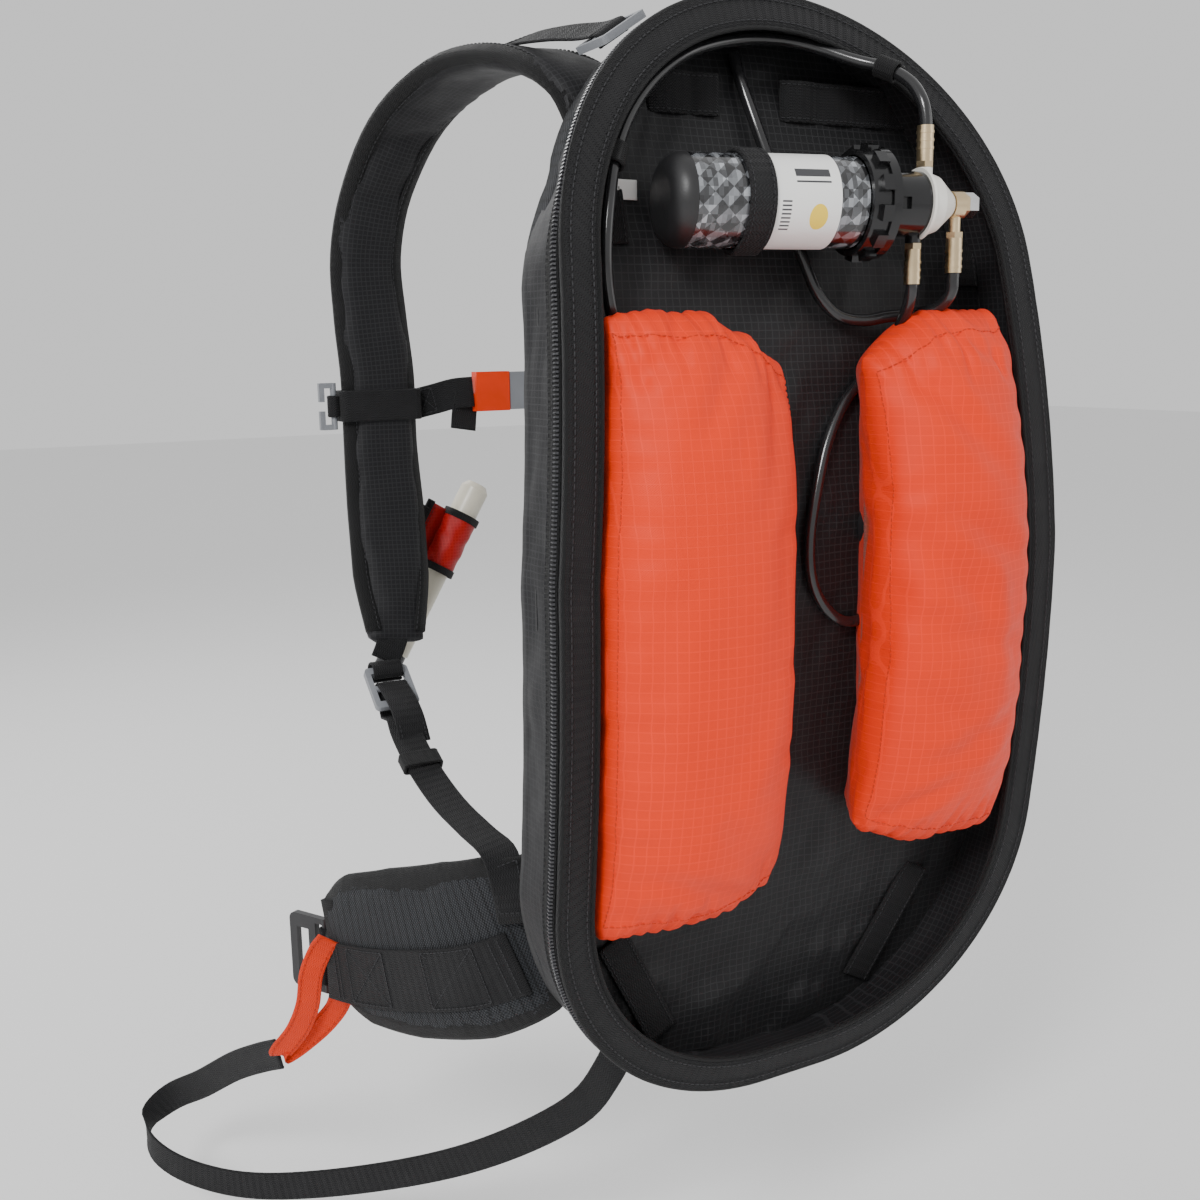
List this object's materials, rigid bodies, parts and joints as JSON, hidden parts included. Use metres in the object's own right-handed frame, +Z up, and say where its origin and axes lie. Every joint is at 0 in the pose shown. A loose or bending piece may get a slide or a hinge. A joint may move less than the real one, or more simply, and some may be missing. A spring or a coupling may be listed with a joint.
{
  "type": "avalanche airbag backpack",
  "caption": "Rimmed backpack base unit with two airbag pouches, a screw-in gas cartridge, piercing valve and hoses, pull handle, shoulder straps, hip belt and leg strap.",
  "frame": {"origin": "underside of the haul loop at its middle, where a hook carries the pack", "axes": "+Z up, +X towards the wearer's right, +Y from the open front towards the wearer"},
  "size_m": [0.5443, 0.4181, 0.7541],
  "materials": {
    "foam_mesh": "ribbed spacer mesh over foam",
    "frame_plastic": "satin moulded",
    "pack_fabric": "ripstop, slight sheen",
    "binding": "woven binding tape",
    "zip_plastic": "coil",
    "orange_fabric": "bright ripstop with a soft sheen",
    "airbag_fabric": "coated nylon",
    "black_webbing": "woven webbing",
    "label_white": "satin film",
    "valve_black": "gloss anodised",
    "valve_white": "satin",
    "bright_steel": "polished",
    "brass": "satin",
    "hose_rubber": "smooth, glossy",
    "carbon": "clear coated carbon weave",
    "cap_black": "matte",
    "strap_fabric": "ripstop with mesh lining",
    "grey_plastic": "satin moulded",
    "black_plastic": "satin moulded",
    "handle_beige": "satin",
    "sleeve_red": "coated nylon",
    "orange_plastic": "satin moulded",
    "loop_orange": "woven tape"
  },
  "bodies": {
    "pack": {"back_panel": "foam_mesh", "frame_sheet": "frame_plastic", "side_gusset": "pack_fabric", "floor_liner": "pack_fabric", "rim_band": "binding", "zip_tape": "binding", "zip_teeth": "zip_plastic", "left_pouch": "orange_fabric", "right_pouch": "orange_fabric", "left_airbag": "airbag_fabric", "right_airbag": "airbag_fabric", "left_inflator": "frame_plastic", "right_inflator": "frame_plastic", "floor_webbing": "black_webbing", "care_label": "label_white", "haul_loop": "black_webbing", "valve_bracket": "frame_plastic", "cartridge_strap": "binding", "valve_body": "valve_black", "retaining_ring": "valve_black", "seal_disc": "valve_white", "valve_cone": "valve_white", "banjo_bolt": "bright_steel", "banjo_ring": "brass", "hose_ferrules": "brass", "hose_left": "hose_rubber", "hose_right": "hose_rubber", "hose_trigger": "hose_rubber", "piston_spring": "bright_steel", "left_strap_pad": "strap_fabric", "right_strap_pad": "strap_fabric", "left_lifter_webbing": "black_webbing", "right_lifter_webbing": "black_webbing", "left_lower_webbing": "black_webbing", "right_lower_webbing": "black_webbing", "handle_sleeve": "sleeve_red", "handle_coupling": "frame_plastic", "left_hip_wing": "foam_mesh", "right_hip_wing": "foam_mesh", "left_hip_webbing": "black_webbing", "right_hip_webbing": "black_webbing", "leg_strap": "black_webbing", "leg_loop": "loop_orange"},
    "neck_seal": {"neck_seal": "hose_rubber"},
    "cartridge": {"cartridge_cylinder": "carbon", "cartridge_cap": "cap_black", "cartridge_label": "label_white"},
    "piston": {"piercing_piston": "bright_steel"},
    "trigger_handle": {"handle_tube": "handle_beige"},
    "chest_strap": {"chest_webbing": "black_webbing", "chest_female": "orange_plastic"},
    "chest_clip": {"chest_male": "grey_plastic"},
    "gear_hook": {"gear_ring": "grey_plastic"},
    "left_lifter": {"left_lifter_buckle": "grey_plastic"},
    "right_lifter": {"right_lifter_buckle": "grey_plastic"},
    "left_ladder_lock": {"left_adjuster": "grey_plastic"},
    "right_ladder_lock": {"right_adjuster": "grey_plastic"},
    "left_hip_plate": {"left_hip_buckle": "black_plastic"},
    "right_hip_plate": {"right_hip_buckle": "black_plastic"}
  },
  "joints": [
    {"name": "cartridge_advance", "type": "slide", "parent": "pack", "child": "neck_seal", "axis": [-0.9848, 0.1736, 0], "range_m": [0, 0.006]},
    {"name": "cartridge_unscrew", "type": "hinge", "parent": "neck_seal", "child": "cartridge", "pos_m": [0.0197, -0.12697, -0.096], "axis": [-0.9848, 0.1736, 0], "range_deg": [0, 1440]},
    {"name": "piston_stroke", "type": "slide", "parent": "pack", "child": "piston", "axis": [-0.9848, 0.1736, 0], "range_m": [0, 0.0042], "stiffness_N_per_m": 2000, "deforming": ["piston_spring"]},
    {"name": "handle_pull", "type": "slide", "parent": "pack", "child": "trigger_handle", "axis": [0.5101, 0, 0.8601], "range_m": [0, 0.04]},
    {"name": "chest_height", "type": "slide", "parent": "pack", "child": "chest_strap", "axis": [0, 0, 1], "range_m": [-0.025, 0.025]},
    {"name": "chest_unclip", "type": "slide", "parent": "chest_strap", "child": "chest_clip", "axis": [1, 0, 0], "range_m": [0, 0.024]},
    {"name": "gear_hook_swing", "type": "hinge", "parent": "chest_strap", "child": "gear_hook", "pos_m": [-0.1687, 0.161, -0.202], "axis": [0, 0, 1], "range_deg": [-60, 60]},
    {"name": "left_lifter_tilt", "type": "hinge", "parent": "pack", "child": "left_lifter", "pos_m": [-0.08, -0.0565, -0.0078], "axis": [0.8387, 0, 0.5446], "range_deg": [-5, 2]},
    {"name": "right_lifter_tilt", "type": "hinge", "parent": "pack", "child": "right_lifter", "pos_m": [0.08, -0.0565, -0.0078], "axis": [0.8387, 0, -0.5446], "range_deg": [-5, 2]},
    {"name": "left_lock_tilt", "type": "hinge", "parent": "pack", "child": "left_ladder_lock", "pos_m": [-0.156, 0.111, -0.381], "axis": [1, 0, 0], "range_deg": [-8, 8]},
    {"name": "right_lock_tilt", "type": "hinge", "parent": "pack", "child": "right_ladder_lock", "pos_m": [0.156, 0.111, -0.381], "axis": [1, 0, 0], "range_deg": [-8, 8]},
    {"name": "left_hip_swing", "type": "hinge", "parent": "pack", "child": "left_hip_plate", "pos_m": [-0.2135, 0.094, -0.546], "axis": [0, 0, 1], "range_deg": [-25, 25]},
    {"name": "right_hip_swing", "type": "hinge", "parent": "pack", "child": "right_hip_plate", "pos_m": [0.2135, 0.094, -0.546], "axis": [0, 0, 1], "range_deg": [-25, 25]}
  ],
  "couplings": [
    {"joint": "cartridge_advance", "follows": "cartridge_unscrew", "m_per_rad": 0.00023873}
  ]
}
